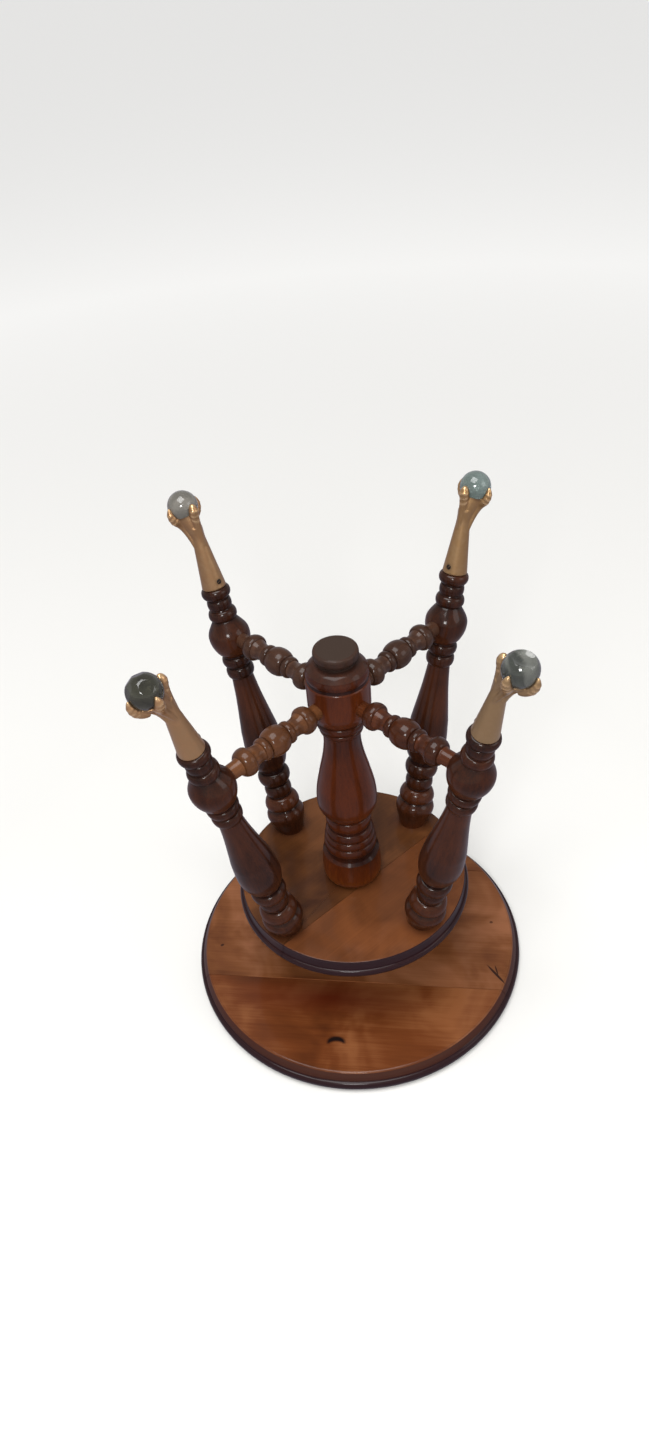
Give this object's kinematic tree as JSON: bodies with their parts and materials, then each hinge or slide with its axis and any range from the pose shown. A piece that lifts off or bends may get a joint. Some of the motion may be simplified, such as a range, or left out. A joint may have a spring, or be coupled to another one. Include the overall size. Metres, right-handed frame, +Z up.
{
  "type": "adjustable piano stool",
  "caption": "Turned-wood adjustable piano stool standing upside down on its round seat, with a screw lift, splayed legs, stretchers and cast claw feet gripping glass balls.",
  "frame": {"origin": "centre of the sitting face, on the floor that the upturned stool stands on", "axes": "+Z up along the lift screw, from the seat towards the feet; -Y towards the viewer, with the legs at 45 degrees to +X and +Y"},
  "size_m": [0.356, 0.356, 0.5062],
  "materials": {
    "seat_wood": "stained board under glossy shellac",
    "plate_wood": "stained board under glossy shellac",
    "turned_wood": "lathe-turned, dark red-brown stain under glossy shellac",
    "cast_iron": "sand-cast, blackened",
    "steel": "machine-turned, aged",
    "claw_metal": "cast, gold-bronze paint worn bright on the ridges",
    "ball_glass": "pressed grey-green glass, polished, with wear scratches",
    "dark_screw": "rusted dark in its hole"
  },
  "bodies": {
    "seat": {"seat_board_front": "seat_wood", "seat_board_middle": "seat_wood", "seat_board_back": "seat_wood", "seat_spider": "cast_iron", "spider_screw_1": "steel", "spider_screw_2": "steel", "spider_screw_3": "steel", "spider_screw_4": "steel", "lift_screw": "steel", "screw_cross_pin": "steel"},
    "nut_carrier": {"lift_nut": "cast_iron"},
    "leg_frame": {"nut_housing": "cast_iron", "housing_screw_1": "steel", "housing_screw_2": "steel", "housing_screw_3": "steel", "housing_screw_4": "steel", "leg_plate_board_wide": "plate_wood", "leg_plate_board_narrow": "plate_wood", "column": "turned_wood", "leg_1": "turned_wood", "stretcher_1": "turned_wood", "claw_1": "claw_metal", "glass_ball_1": "ball_glass", "claw_screw_1": "dark_screw", "leg_2": "turned_wood", "stretcher_2": "turned_wood", "claw_2": "claw_metal", "glass_ball_2": "ball_glass", "claw_screw_2": "dark_screw", "leg_3": "turned_wood", "stretcher_3": "turned_wood", "claw_3": "claw_metal", "glass_ball_3": "ball_glass", "claw_screw_3": "dark_screw", "leg_4": "turned_wood", "stretcher_4": "turned_wood", "claw_4": "claw_metal", "glass_ball_4": "ball_glass", "claw_screw_4": "dark_screw"}
  },
  "joints": [
    {"name": "frame_lift", "type": "slide", "parent": "seat", "child": "nut_carrier", "axis": [0, 0, 1], "range_m": [-0.058, 0.0387]},
    {"name": "frame_turn", "type": "hinge", "parent": "nut_carrier", "child": "leg_frame", "pos_m": [0, 0, 0.13], "axis": [0, 0, 1], "range_deg": [-3285, 2190]}
  ],
  "couplings": [
    {"joint": "frame_lift", "follows": "frame_turn", "m_per_rad": 0.0010106}
  ]
}
